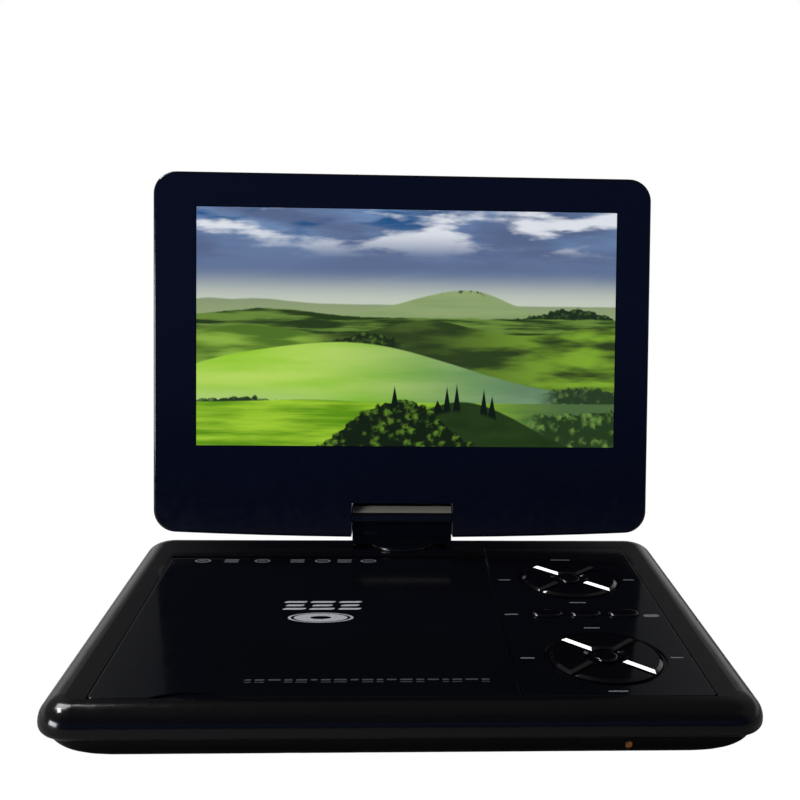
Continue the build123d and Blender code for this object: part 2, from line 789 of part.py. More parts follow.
with BuildPart() as speakers:
    with BuildSketch(level(floor_top + 1.0)):
        with Locations(*speaker_spots):
            Circle(speaker_r)
    extrude(amount=3.6)
    with BuildSketch(level(floor_top + 1.0)):
        with Locations(*speaker_spots):
            Circle(speaker_r - 1.8)
    extrude(amount=1.2, taper=25, mode=Mode.SUBTRACT)
    with BuildSketch(level(floor_top + 4.6)):
        with Locations(*speaker_spots):
            Circle(5)
    extrude(amount=1.6)
    with BuildSketch(level(floor_top)):
        with Locations(*speaker_spots):
            Circle(speaker_r)
            Circle(speaker_r - 1.2, mode=Mode.SUBTRACT)
    extrude(amount=1.0)
speakers.part.label = "speakers"
export_step(speakers.part, "parts/speakers.step")

# --- ports, switch, sensor window, feet and screws ---------------------------------------------
jack_depth = 13.0
usb_len = 14.0
card_len = 24.0
can_t = 0.4  # the sockets' sheet metal
plug_r = {"power": 2.75, "video": 1.8, "headphone": 1.8}
for name, y in jack_spots.items():
    with BuildPart() as jack:
        with BuildSketch(side(jack_mouth - jack_depth - 1)):
            with Locations((y, port_z)):
                Circle(jack_r)
        extrude(amount=jack_depth + 1)
        with BuildSketch(side(jack_mouth - jack_depth)):
            with Locations((y, port_z)):
                Circle(plug_r[name])
        extrude(amount=jack_depth, mode=Mode.SUBTRACT)
        if name == "power":
            with BuildSketch(side(jack_mouth - jack_depth)):
                with Locations((y, port_z)):
                    Circle(0.85)
            extrude(amount=jack_depth - 2)
    jack.part.label = f"{name}_jack"
    export_step(jack.part, f"parts/{name}_jack.step")

with BuildPart() as usb_socket:
    with BuildSketch(side(jack_mouth - usb_len)):
        with Locations((usb_y, port_z)):
            Rectangle(usb_w, usb_h)
    extrude(amount=usb_len)
    with BuildSketch(side(jack_mouth - usb_len + 1)):
        with Locations((usb_y, port_z)):
            Rectangle(usb_w - 2 * can_t, usb_h - 2 * can_t)
    extrude(amount=usb_len - 1, mode=Mode.SUBTRACT)
    # The contact blade inside.
    with BuildSketch(side(jack_mouth - usb_len + 1)):
        with Locations((usb_y, port_z + 1.1)):
            Rectangle(11, 1.7)
    extrude(amount=usb_len - 2.5)
usb_socket.part.label = "usb_socket"
export_step(usb_socket.part, "parts/usb_socket.step")

with BuildPart() as card_slot:
    with BuildSketch(side(jack_mouth - card_len)):
        with Locations((card_y, card_z)):
            Rectangle(card_w, card_h)
    extrude(amount=card_len)
    with BuildSketch(side(jack_mouth - card_len + 1)):
        with Locations((card_y, card_z)):
            Rectangle(card_w - 4 * can_t, card_h - 2 * can_t)
    extrude(amount=card_len - 1, mode=Mode.SUBTRACT)
card_slot.part.label = "card_slot"
export_step(card_slot.part, "parts/card_slot.step")

with BuildPart() as power_switch:
    with BuildSketch(side(port_x - 4.5)):
        with Locations((switch_y - switch_travel / 2, port_z + 1)):
            Rectangle(switch_len, 2.6)
    extrude(amount=6.0)
    chamfer(power_switch.faces().sort_by(Axis.X)[-1].edges(), length=0.5)
power_switch.part.label = "power_switch"
export_step(power_switch.part, "parts/power_switch.step")

with BuildPart() as ir_window:
    with BuildSketch(facing(hull_front + 4)):
        with Locations((ir_x, ir_z)):
            Circle(1.5)
    extrude(amount=2.9)
    fillet(ir_window.faces().sort_by(Axis.Y)[0].edges(), radius=0.5)
ir_window.part.label = "ir_window"
export_step(ir_window.part, "parts/ir_window.step")

with BuildPart() as rubber_feet:
    with BuildSketch(level(0)):
        with Locations(*foot_spots):
            Circle(foot_r)
    extrude(amount=foot_top)
    fillet(rubber_feet.faces().group_by(Axis.Z)[0].edges(), radius=0.5)
rubber_feet.part.label = "rubber_feet"
export_step(rubber_feet.part, "parts/rubber_feet.step")

head_t = 1.4
with BuildPart() as case_screws:
    with BuildSketch(level(screw_seat - head_t)):
        with Locations(*screw_spots):
            Circle(case_head_r)
    extrude(amount=head_t)
    with BuildSketch(level(screw_seat - head_t)):
        with Locations(*screw_spots):
            Rectangle(cross_len, cross_w)
            Rectangle(cross_w, cross_len)
    extrude(amount=cross_depth, mode=Mode.SUBTRACT)
    with BuildSketch(level(screw_seat)):
        with Locations(*screw_spots):
            Circle(case_screw_r)
    extrude(amount=screw_top - screw_seat)
case_screws.part.label = "case_screws"
export_step(case_screws.part, "parts/case_screws.step")

# --- hinge: everything that turns on the swivel ---------------------------------------------
turntable_z = deck_z + 0.1
neck_z = turntable_z + 1.2
neck_half = barrel_r - 0.2
shell = 1.6
bracket_t = 1.5
ear_x = 15.0
shaft_foot = 12.0
nut_t = 2.0
washer_t = 1.2
trim_angles = (35, 65)  # degrees above the horizontal, on the user's side of the barrel
trim_t = 0.35

with BuildPart() as hinge_neck:
    with BuildSketch(level(turntable_z)):
        with Locations((0, hinge_y)):
            Circle(turntable_r)
    extrude(amount=neck_z - turntable_z)
    fillet(hinge_neck.faces().sort_by(Axis.Z)[-1].edges(), radius=0.6)
    with BuildSketch(side(-neck_w / 2)):
        with Locations((hinge_y, tilt_z)):
            Circle(barrel_r)
        with Locations((hinge_y, (neck_z + tilt_z) / 2)):
            Rectangle(2 * neck_half, tilt_z - neck_z)
    extrude(amount=neck_w)
    with BuildSketch(side(-neck_w / 2 + shell)):
        with Locations((hinge_y, tilt_z)):
            Circle(barrel_r - shell)
        with Locations((hinge_y, (neck_z + tilt_z) / 2)):
            Rectangle(2 * (neck_half - shell), tilt_z - neck_z)
    extrude(amount=neck_w - 2 * shell, mode=Mode.SUBTRACT)
    with BuildSketch(side(-neck_w)):
        with Locations((hinge_y, tilt_z)):
            Circle(tilt_shaft_r + 0.3)
    extrude(amount=2 * neck_w, mode=Mode.SUBTRACT)
    with BuildSketch(level(deck_z)):
        with Locations((0, hinge_y)):
            Circle(shaft_r)
    extrude(amount=neck_z + 0.2 - deck_z, mode=Mode.SUBTRACT)
hinge_neck.part.label = "hinge_neck"
export_step(hinge_neck.part, "parts/hinge_neck.step")

with BuildPart() as hinge_trim:
    trim_plane = Plane(
        origin=(-neck_w / 2 + 0.2, base_y + hinge_y, tilt_z), x_dir=(0, 1, 0), z_dir=(1, 0, 0)
    )
    with BuildSketch(trim_plane):
        Circle(barrel_r + trim_t)
        Circle(barrel_r, mode=Mode.SUBTRACT)
        with BuildLine():
            reach = 3 * barrel_r
            trim_edges = []
            for turn in trim_angles:
                trim_edges.append((-reach * cos(radians(turn)), reach * sin(radians(turn))))
            Polyline((0, 0), *trim_edges, close=True)
        make_face(mode=Mode.INTERSECT)
    extrude(amount=neck_w - 0.4)
hinge_trim.part.label = "hinge_trim"
export_step(hinge_trim.part, "parts/hinge_trim.step")

with BuildPart() as hinge_bracket:
    with BuildSketch(level(neck_z + 0.1)):
        with Locations((0, hinge_y)):
            Rectangle(2 * (ear_x + bracket_t), 2 * (neck_half - shell) - 0.4)
            Circle(shaft_bore_r, mode=Mode.SUBTRACT)
    extrude(amount=bracket_t)
    for x in (-ear_x - bracket_t, ear_x):
        with BuildSketch(side(x)):
            with Locations((hinge_y, tilt_z)):
                Circle(4.2)
            with Locations((hinge_y, (neck_z + 0.1 + tilt_z) / 2)):
                Rectangle(8.4, tilt_z - neck_z - 0.1)
            with Locations((hinge_y, tilt_z)):
                Circle(tilt_shaft_r + 0.05, mode=Mode.SUBTRACT)
        extrude(amount=bracket_t)
hinge_bracket.part.label = "hinge_bracket"
export_step(hinge_bracket.part, "parts/hinge_bracket.step")

with BuildPart() as swivel_shaft:
    with BuildSketch(level(shaft_foot)):
        with Locations((0, hinge_y)):
            Circle(shaft_r)
            Circle(shaft_bore_r, mode=Mode.SUBTRACT)
    extrude(amount=neck_z + 0.1 - shaft_foot)
swivel_shaft.part.label = "swivel_shaft"
export_step(swivel_shaft.part, "parts/swivel_shaft.step")

with BuildPart() as swivel_nut:
    with BuildSketch(level(nut_ceiling - 0.1 - washer_t - nut_t)):
        with Locations((0, hinge_y)):
            RegularPolygon(9.5, 6)
            Circle(shaft_r, mode=Mode.SUBTRACT)
    extrude(amount=nut_t)
    with BuildSketch(level(nut_ceiling - 0.1 - washer_t)):
        with Locations((0, hinge_y)):
            Circle(11)
            Circle(shaft_r, mode=Mode.SUBTRACT)
    extrude(amount=washer_t)
swivel_nut.part.label = "swivel_nut"
export_step(swivel_nut.part, "parts/swivel_nut.step")

cable_bend = 6.0
cable_foot = 9.0
cable_far = 46.0
with BuildPart() as display_cable:
    with BuildLine(facing(hinge_y)) as cable_path:
        FilletPolyline((0, cable_foot), (0, tilt_z), (cable_far, tilt_z), radius=cable_bend)
    with BuildSketch(level(cable_foot)):
        with Locations((0, hinge_y)):
            Circle(cable_r)
    sweep(path=cable_path.wires()[0])
display_cable.part.label = "display_cable"
export_step(display_cable.part, "parts/display_cable.step")

# --- screen: everything that tilts ------------------------------------------------------------
with BuildSketch() as screen_outline:
    with BuildLine():
        lower = ThreePointArc(
            (-screen_w / 2, screen_low),
            (0, screen_low - screen_bow),
            (screen_w / 2, screen_low),
        )
        Polyline(
            lower @ 1,
            (screen_w / 2, screen_high),
            (-screen_w / 2, screen_high),
            lower @ 0,
        )
    make_face()
    fillet(screen_outline.vertices(), radius=screen_r)
outline = screen_outline.sketch
forward = Axis(screen_plane(0).origin, screen_plane(0).z_dir)
bezel_back = screen_front - bezel_t
glass_w = lcd_w + 7.6
glass_h = lcd_h + 7.4
lcd_y = lcd_low + lcd_h / 2
glass_front = screen_front - 1.2
glass_t = 1.4
light_t = 3.4
notch_low = screen_low - screen_bow - 2

with BuildSketch() as notch_sketch:
    with Locations((0, (notch_low + notch_r) / 2)):
        Rectangle(notch_w, notch_r - notch_low)
notch = notch_sketch.sketch

with BuildPart() as screen_bezel:
    with BuildSketch(screen_plane(bezel_back)):
        add(outline)
    extrude(amount=bezel_t)
    fillet(screen_bezel.faces().sort_by(forward)[-1].edges(), radius=1.2)
    with BuildSketch(screen_plane(bezel_back)):
        with Locations((lcd_x, lcd_y)):
            Rectangle(lcd_w + 0.6, lcd_h + 0.6)
        add(notch)
    extrude(amount=bezel_t, mode=Mode.SUBTRACT)
    with BuildSketch(screen_plane(bezel_back)):
        with Locations((lcd_x, lcd_y)):
            Rectangle(glass_w + 0.2, glass_h + 0.2)
    extrude(amount=glass_front - bezel_back, mode=Mode.SUBTRACT)
screen_bezel.part.label = "screen_bezel"
export_step(screen_bezel.part, "parts/screen_bezel.step")

with BuildPart() as lcd_panel:
    with BuildSketch(screen_plane(glass_front)):
        with Locations((lcd_x, lcd_y)):
            Rectangle(glass_w, glass_h)
    extrude(amount=-glass_t)
lcd_panel.part.label = "lcd_panel"
export_step(lcd_panel.part, "parts/lcd_panel.step")

with BuildPart() as backlight_unit:
    with BuildSketch(screen_plane(glass_front - glass_t)):
        with Locations((lcd_x, lcd_y)):
            Rectangle(glass_w, glass_h)
    extrude(amount=-light_t)
backlight_unit.part.label = "backlight_unit"
export_step(backlight_unit.part, "parts/backlight_unit.step")

post_spots = [(-100, 10), (100, 10), (-108, 153), (108, 153)]
with BuildPart() as screen_cover:
    with BuildSketch(screen_plane(bezel_back)):
        add(outline)
    extrude(amount=screen_back - bezel_back)
    fillet(screen_cover.faces().sort_by(forward)[0].edges(), radius=5.5)
    with BuildSketch(screen_plane(bezel_back)):
        add(outline)
        offset(amount=-wall, mode=Mode.REPLACE)
        with Locations((0, (notch_low + notch_r + wall) / 2)):
            Rectangle(notch_w + 2 * wall, notch_r + wall - notch_low, mode=Mode.SUBTRACT)
    extrude(amount=screen_back + wall - bezel_back, mode=Mode.SUBTRACT)
    # Screw posts, with sunk heads at the back.
    with BuildSketch(screen_plane(bezel_back)):
        with Locations(*post_spots):
            Circle(3.4)
    extrude(amount=screen_back + wall - bezel_back)
    with BuildSketch(screen_plane(screen_back)):
        with Locations(*post_spots):
            Circle(1.25)
    extrude(amount=bezel_back - screen_back, mode=Mode.SUBTRACT)
    with BuildSketch(screen_plane(screen_back)):
        with Locations(*post_spots):
            Circle(2.6)
    extrude(amount=1.8, mode=Mode.SUBTRACT)
    with BuildSketch(screen_plane(screen_back - 1)):
        add(notch)
    extrude(amount=bezel_back - screen_back + 2, mode=Mode.SUBTRACT)
    with BuildSketch(side(-neck_w)):
        with Locations((hinge_y, tilt_z)):
            Circle(tilt_shaft_r + 0.05)
    extrude(amount=2 * neck_w, mode=Mode.SUBTRACT)
screen_cover.part.label = "screen_cover"
export_step(screen_cover.part, "parts/screen_cover.step")

with BuildPart() as screen_screws:
    with BuildSketch(screen_plane(screen_back + 0.4)):
        with Locations(*post_spots):
            Circle(2.3)
    extrude(amount=1.4)
    with BuildSketch(screen_plane(screen_back + 0.4)):
        with Locations(*post_spots):
            Rectangle(cross_len, cross_w)
            Rectangle(cross_w, cross_len)
    extrude(amount=cross_depth, mode=Mode.SUBTRACT)
    with BuildSketch(screen_plane(screen_back + 1.8)):
        with Locations(*post_spots):
            Circle(1.1)
    extrude(amount=bezel_back - screen_back - 1.8)
screen_screws.part.label = "screen_screws"
export_step(screen_screws.part, "parts/screen_screws.step")

with BuildPart() as lcd_driver_board:
    with BuildSketch(screen_plane(1.0)):
        with Locations((lcd_x, 78)):
            RectangleRounded(130, 60, 2)
    extrude(amount=-1.2)
    with BuildSketch(screen_plane(-0.2)):
        with Locations((-30, 82)):
            Rectangle(16, 16)
        with Locations((20, 70), (40, 92)):
            Rectangle(9, 12)
    extrude(amount=-1.3)
lcd_driver_board.part.label = "lcd_driver_board"
export_step(lcd_driver_board.part, "parts/lcd_driver_board.step")

knuckle_r = 3.8
knuckle_ends = (28.0, 42.0)
with BuildPart() as screen_hinge_plates:
    with BuildSketch(screen_plane(screen_back + wall)):
        with Locations((-35, 12), (35, 12)):
            Rectangle(14, 28)
    extrude(amount=1.5)
    with BuildSketch(screen_plane(screen_back + wall)):
        with Locations((-35, 1), (35, 1)):
            Rectangle(14, 5.6)
    extrude(amount=-screen_back - wall)
    for start in (-knuckle_ends[1], knuckle_ends[0]):
        with BuildSketch(side(start)):
            with Locations((hinge_y, tilt_z)):
                Circle(knuckle_r)
        extrude(amount=knuckle_ends[1] - knuckle_ends[0])
    with BuildSketch(side(-knuckle_ends[1])):
        with Locations((hinge_y, tilt_z)):
            Circle(tilt_shaft_r)
    extrude(amount=2 * knuckle_ends[1], mode=Mode.SUBTRACT)
screen_hinge_plates.part.label = "screen_hinge_plates"
export_step(screen_hinge_plates.part, "parts/screen_hinge_plates.step")

with BuildPart() as tilt_shafts:
    for start in (-knuckle_ends[1], ear_x - 1.5):
        with BuildSketch(side(start)):
            with Locations((hinge_y, tilt_z)):
                Circle(tilt_shaft_r)
                Circle(cable_r + 0.2, mode=Mode.SUBTRACT)
        extrude(amount=knuckle_ends[1] - ear_x + 1.5)
tilt_shafts.part.label = "tilt_shafts"
export_step(tilt_shafts.part, "parts/tilt_shafts.step")
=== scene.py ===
import json
from math import cos, radians, sin

import bmesh
import bpy
from mathutils import Matrix, Vector


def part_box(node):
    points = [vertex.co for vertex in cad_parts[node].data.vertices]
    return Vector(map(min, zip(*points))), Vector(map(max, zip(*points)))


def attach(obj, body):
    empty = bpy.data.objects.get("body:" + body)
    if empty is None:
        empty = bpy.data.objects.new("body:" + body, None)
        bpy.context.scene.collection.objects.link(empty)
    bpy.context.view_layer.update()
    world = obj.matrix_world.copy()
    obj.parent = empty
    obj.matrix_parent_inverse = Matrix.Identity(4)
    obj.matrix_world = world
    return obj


# The portable disc player: materials, the lit picture, the printed marks and the studio.
# Metres, in the CAD frame: +X across the base, -Y is the user's side, the table at Z = 0.

MM = 0.001
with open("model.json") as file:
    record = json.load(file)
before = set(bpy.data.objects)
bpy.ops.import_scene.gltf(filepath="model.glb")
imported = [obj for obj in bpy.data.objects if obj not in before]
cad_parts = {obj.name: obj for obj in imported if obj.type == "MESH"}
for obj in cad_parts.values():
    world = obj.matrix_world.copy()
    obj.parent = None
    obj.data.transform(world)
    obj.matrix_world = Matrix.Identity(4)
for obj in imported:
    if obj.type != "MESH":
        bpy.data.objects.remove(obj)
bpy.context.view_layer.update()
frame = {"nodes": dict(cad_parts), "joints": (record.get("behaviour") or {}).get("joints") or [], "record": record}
nodes = frame["nodes"]

deck_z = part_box("control_panel")[1].z  # the flat top
tilt_joint = next(j for j in frame["joints"] if j["name"] == "screen_tilt")
tilt_axis = Vector(tilt_joint["pos_m"])
lean = radians(8.7)  # the screen's lean back from upright at rest
up_screen = Vector((0, sin(lean), cos(lean)))
out_of_screen = Vector((0, -cos(lean), sin(lean)))

key_bevel_widening = (2.1, 2.1, 1.0)  # how far the keys' shading leans their slopes outward

camera_place = (-0.0060, -0.4104, 0.1849)
camera_yaw = radians(-2.62)
camera_pitch = radians(90 - 10.89)
camera_roll = radians(0.97)
camera_lens = 46.34
camera_shift = -0.046

ink_t = 0.04 * MM  # how far the printed marks stand off the deck
mark_w = 0.9 * MM  # the width of the dashes round the keys
base_y = -0.013  # the middle of the base, front to back
emblem = (-0.0330, base_y - 0.0020)
emblem_pitch = 11.2 * MM  # from one group of bars to the next
emblem_squash = 0.38
legend_start = -0.0555
legend_y = base_y - 0.0648
icons_y = base_y + 0.0550
icon_squash = 0.62
floor_r = 1.6


# --- node graphs ------------------------------------------------------------------------


def srgb(red, green, blue):
    """A display colour of 0 to 255 as the linear colour that shaders take."""
    channels = [value / 255 for value in (red, green, blue)]
    linear = [c / 12.92 if c <= 0.04045 else ((c + 0.055) / 1.055) ** 2.4 for c in channels]
    return (*linear, 1.0)


class Field:
    """A value that varies over a surface; arithmetic on it adds Math nodes."""

    def __init__(self, graph, socket):
        self.graph = graph
        self.socket = socket

    def __add__(self, other):
        return self.graph.math("ADD", self, other)

    def __sub__(self, other):
        return self.graph.math("SUBTRACT", self, other)

    def __rsub__(self, other):
        return self.graph.math("SUBTRACT", other, self)

    def __mul__(self, other):
        return self.graph.math("MULTIPLY", self, other)

    def __truediv__(self, other):
        return self.graph.math("DIVIDE", self, other)

    __radd__ = __add__
    __rmul__ = __mul__


class Graph:
    """The node graph of one material or world."""

    def __init__(self, tree):
        self.tree = tree

    def node(self, kind, output, inputs, **settings):
        made = self.tree.nodes.new("ShaderNode" + kind)
        for name, value in settings.items():
            setattr(made, name, value)
        for name, value in inputs.items():
            self.feed(made.inputs[name], value)
        return Field(self, made.outputs[output])

    def feed(self, socket, value):
        if isinstance(value, Field):
            self.tree.links.new(value.socket, socket)
        else:
            socket.default_value = value

    def math(self, operation, *values):
        return self.node("Math", 0, dict(enumerate(values)), operation=operation)

    def rise(self, value, start, end):
        """0 below start, 1 above end and smooth between; start may be above end."""
        ends = {"Value": value, "From Min": start, "From Max": end}
        return self.node("MapRange", "Result", ends, interpolation_type="SMOOTHSTEP")

    def colours(self, share, first, second):
        mixed = {"Factor": share, 6: first, 7: second}
        return self.node("Mix", 2, mixed, data_type="RGBA")

    def point(self, x, y, z=0.0):
        return self.node("CombineXYZ", 0, {"X": x, "Y": y, "Z": z})

    def place(self):
        """The surface point in the CAD frame, which rides along with its body."""
        return self.node("TexCoord", "Object", {})

    def split(self, vector):
        parts = self.node("SeparateXYZ", 0, {"Vector": vector}).socket.node
        return [Field(self, output) for output in parts.outputs]

    def noise(self, vector, scale, detail=2.0, roughness=0.5):
        inputs = {"Vector": vector, "Scale": scale, "Detail": detail, "Roughness": roughness}
        return self.node("TexNoise", 0, inputs)

    def cells(self, vector, scale, output="Distance", feature="F1"):
        return self.node("TexVoronoi", output, {"Vector": vector, "Scale": scale}, feature=feature)


class Paint(Graph):
    """A material's graph, with its Principled shader's sockets set by name."""

    def __init__(self, name, **sockets):
        self.material = bpy.data.materials.new(name)
        self.material.use_nodes = True
        super().__init__(self.material.node_tree)
        self.shader = self.tree.nodes["Principled BSDF"]
        self.set(**sockets)

    def set(self, **sockets):
        for name, value in sockets.items():
            self.feed(self.shader.inputs[name.replace("_", " ")], value)

    def bump(self, height, distance, strength=1.0):
        inputs = {"Height": height, "Distance": distance, "Strength": strength}
        self.feed(self.shader.inputs["Normal"], self.node("Bump", 0, inputs))


# --- materials --------------------------------------------------------------------------


def moulded(name, dark, light, rough, grain, grain_depth, mirror=0.5):
    """Moulded plastic: a faint cloudy colour, uneven gloss and a fine surface texture."""
    paint = Paint(name, Specular_IOR_Level=mirror)
    where = paint.place()
    cloud = paint.noise(where, 40, 3)
    haze = paint.noise(where, 260, 4)
    paint.set(Base_Color=paint.colours(cloud, dark, light))
    paint.set(Roughness=rough[0] + paint.rise(haze, 0.35, 0.75) * (rough[1] - rough[0]))
    paint.bump(paint.noise(where, grain, 2), grain_depth)
    return paint.material


def key_plastic():
    """Polished black keys; their sloping edges are shaded as if they were steeper than they are."""
    paint = Paint("key_black")
    where = paint.place()
    cloud = paint.noise(where, 40, 3)
    paint.set(Base_Color=paint.colours(cloud, srgb(5, 5, 8), srgb(9, 9, 13)))
    paint.set(Roughness=0.06 + paint.rise(paint.noise(where, 260, 4), 0.35, 0.75) * 0.04)
    facing = paint.node("NewGeometry", "Normal", {})
    wider = paint.node("VectorMath", 0, {0: facing, 1: key_bevel_widening}, operation="MULTIPLY")
    paint.set(Normal=paint.node("VectorMath", 0, {0: wider}, operation="NORMALIZE"))
    return paint.material


def metal(name, colour, shade, rough, streak=(1, 1, 1), scale=900):
    """Metal with fine streaks along one direction, or even grain."""
    paint = Paint(name, Metallic=1.0)
    where = paint.node("VectorMath", 0, {0: paint.place(), 1: streak}, operation="MULTIPLY")
    grain = paint.noise(where, scale, 3)
    blotch = paint.noise(paint.place(), 60, 3)
    paint.set(Base_Color=paint.colours(blotch, colour, shade))
    paint.set(Roughness=rough[0] + grain * (rough[1] - rough[0]))
    paint.bump(grain, 0.00002)
    return paint.material


def circuit_board():
    """Green solder resist over fine straight tracks, with rows of tinned pads."""
    paint = Paint("circuit_board", Roughness=0.35)
    x, y, _ = paint.split(paint.place())
    bend = paint.noise(paint.place(), 70, 1)
    track = paint.math("PINGPONG", (x + y * paint.rise(bend, 0.45, 0.55)) * 700, 1.0)
    tracks = paint.rise(track, 0.55, 0.7)
    board = paint.colours(tracks, srgb(14, 70, 38), srgb(28, 104, 58))
    pads = paint.rise(paint.cells(paint.place(), 420), 0.16, 0.10)
    paint.set(Base_Color=paint.colours(pads, board, srgb(196, 200, 190)))
    paint.bump(tracks, 0.00004)
    return paint.material


def battery_wrap():
    """Shrink-wrap film: dull blue with long soft creases."""
    paint = Paint("battery_wrap", Specular_IOR_Level=0.4)
    x, y, z = paint.split(paint.place())
    crease = paint.noise(paint.point(x * 4, y, z * 4), 120, 3)
    paint.set(Base_Color=paint.colours(crease, srgb(22, 42, 96), srgb(34, 62, 128)))
    paint.set(Roughness=0.3 + crease * 0.2)
    paint.bump(crease, 0.0002)
    return paint.material


def lens_glass():
    """The coated pickup lens: dark, clear and bluish, with a little dust."""
    paint = Paint("lens_glass", Metallic=0.0, Coat_Weight=1.0, Coat_Roughness=0.03)
    dust = paint.noise(paint.place(), 3000, 3)
    paint.set(Base_Color=paint.colours(dust, srgb(24, 30, 80), srgb(70, 60, 120)))
    paint.set(Roughness=0.04 + paint.rise(dust, 0.6, 0.8) * 0.1)
    return paint.material


def amber_window():
    """The receiver's tinted window: deep amber, with faint flow marks."""
    paint = Paint("window_amber", Coat_Weight=0.6, Coat_Roughness=0.05)
    flow = paint.noise(paint.place(), 900, 2)
    paint.set(Base_Color=paint.colours(flow, srgb(120, 62, 10), srgb(168, 96, 22)))
    paint.set(Roughness=0.15 + flow * 0.1)
    return paint.material


def trim_metal():
    """Plated trim in a pale gold, very finely brushed along X; half of it is diffuse colour, partly the trim's own
    and partly a painted highlight for a bright strip of reflected light.
    """
    # Metallic 0.5 leaves half the pale gold as diffuse colour, a painted highlight that shows even where the bezel
    # shades the trim.
    paint = Paint("trim_metal", Metallic=0.5)
    x, y, z = paint.split(paint.place())
    brushed = paint.noise(paint.point(x, y * 60, z * 60), 120, 2)
    paint.set(Base_Color=paint.colours(brushed * 0.4, srgb(206, 200, 178), srgb(176, 166, 142)))
    paint.set(Roughness=0.16 + brushed * 0.06)
    return paint.material


def printed_ink(name, colour, faded):
    """Pad-printed ink, slightly thin in places."""
    paint = Paint(name, Specular_IOR_Level=0.2)
    worn = paint.noise(paint.place(), 1500, 3)
    paint.set(Base_Color=paint.colours(paint.rise(worn, 0.45, 0.75), colour, faded))
    paint.set(Roughness=0.5 + worn * 0.2)
    return paint.material


FINISHES = {
    "gloss_black": moulded(
        "gloss_black", srgb(6, 7, 11), srgb(10, 11, 17), (0.09, 0.15), 300, 0.00001
    ),
    "satin_black": moulded(
        "satin_black", srgb(7, 7, 7), srgb(11, 11, 11), (0.40, 0.52), 2600, 0.00002, 0.12
    ),
    "key_black": key_plastic(),
    "switch_black": moulded(
        "switch_black", srgb(16, 16, 18), srgb(24, 24, 26), (0.4, 0.5), 2000, 0.00003
    ),
    "rubber": moulded("rubber", srgb(20, 20, 20), srgb(30, 30, 30), (0.75, 0.9), 1800, 0.00005, 0.2),
    "chip_black": moulded(
        "chip_black", srgb(22, 22, 24), srgb(34, 34, 36), (0.55, 0.7), 3000, 0.00004, 0.3
    ),
    "hub_plastic": moulded(
        "hub_plastic", srgb(36, 36, 40), srgb(48, 48, 52), (0.25, 0.35), 900, 0.00002
    ),
    "sled_plastic": moulded(
        "sled_plastic", srgb(48, 50, 54), srgb(62, 64, 68), (0.4, 0.5), 1500, 0.00003
    ),
    "speaker_black": moulded(
        "speaker_black", srgb(14, 14, 14), srgb(30, 30, 30), (0.7, 0.85), 1200, 0.0001, 0.2
    ),
    "jack_plastic": moulded(
        "jack_plastic", srgb(20, 20, 22), srgb(30, 30, 32), (0.35, 0.45), 2000, 0.00002
    ),
    "cable_black": moulded(
        "cable_black", srgb(16, 16, 18), srgb(24, 24, 26), (0.45, 0.6), 2400, 0.00004
    ),
    "backlight_metal": metal("backlight_metal", srgb(170, 172, 176), srgb(142, 144, 150), (0.3, 0.45)),
    "screw_steel": metal("screw_steel", srgb(92, 92, 96), srgb(66, 66, 70), (0.25, 0.4)),
    "dome_steel": metal("dome_steel", srgb(198, 198, 200), srgb(170, 170, 174), (0.15, 0.3)),
    "pressed_steel": metal(
        "pressed_steel", srgb(176, 178, 180), srgb(148, 150, 154), (0.25, 0.45), (1, 12, 1), 300
    ),
    "motor_steel": metal("motor_steel", srgb(190, 190, 192), srgb(160, 160, 164), (0.18, 0.3)),
    "socket_steel": metal("socket_steel", srgb(178, 178, 180), srgb(150, 150, 152), (0.25, 0.4)),
    "circuit_board": circuit_board(),
    "battery_wrap": battery_wrap(),
    "lens_glass": lens_glass(),
    "window_amber": amber_window(),
    "trim_metal": trim_metal(),
}
# Gloss black bezel whose navy base tint is painted: it stands in for the bluish cast of reflected light and
# backlight bleed on the bezel.
bezel_gloss_painted_blue = moulded(
    "bezel_gloss_painted_blue", srgb(4, 6, 18), srgb(7, 10, 27), (0.10, 0.16), 300, 0.00001
)
rim_gloss = moulded(
    "rim_gloss", srgb(7, 7, 9), srgb(11, 11, 13), (0.13, 0.17), 400, 0.000001, 0.35
)
panel_glass = moulded("panel_glass", srgb(2, 3, 8), srgb(4, 5, 12), (0.12, 0.2), 900, 0.00001)
white_ink = printed_ink("white_ink", srgb(178, 180, 186), srgb(120, 122, 128))
grey_ink = printed_ink("grey_ink", srgb(112, 114, 120), srgb(84, 86, 92))
faint_ink = printed_ink("faint_ink", srgb(66, 68, 78), srgb(46, 48, 56))


def paint_nodes():
    """Gives every CAD node the finish of its slot, or its own where parts of a slot differ."""
    slots = {part["node"]: part["material_slot"] for part in frame["record"]["subparts"]}
    special = {"screen_bezel": bezel_gloss_painted_blue, "lcd_panel": panel_glass, "top_case": rim_gloss}
    for name, thing in nodes.items():
        material = special.get(name) or FINISHES[slots[name]]
        thing.data.materials.clear()
        thing.data.materials.append(material)


# --- the lit picture --------------------------------------------------------------------

picture_w = 0.198
picture_h = 0.1117
picture_x = 0.0018  # its middle, which is a little to the right
picture_low = 0.0352  # its lower edge, up the screen from the tilt axis
picture_forward = 0.00845  # its face, forward of the tilt axis


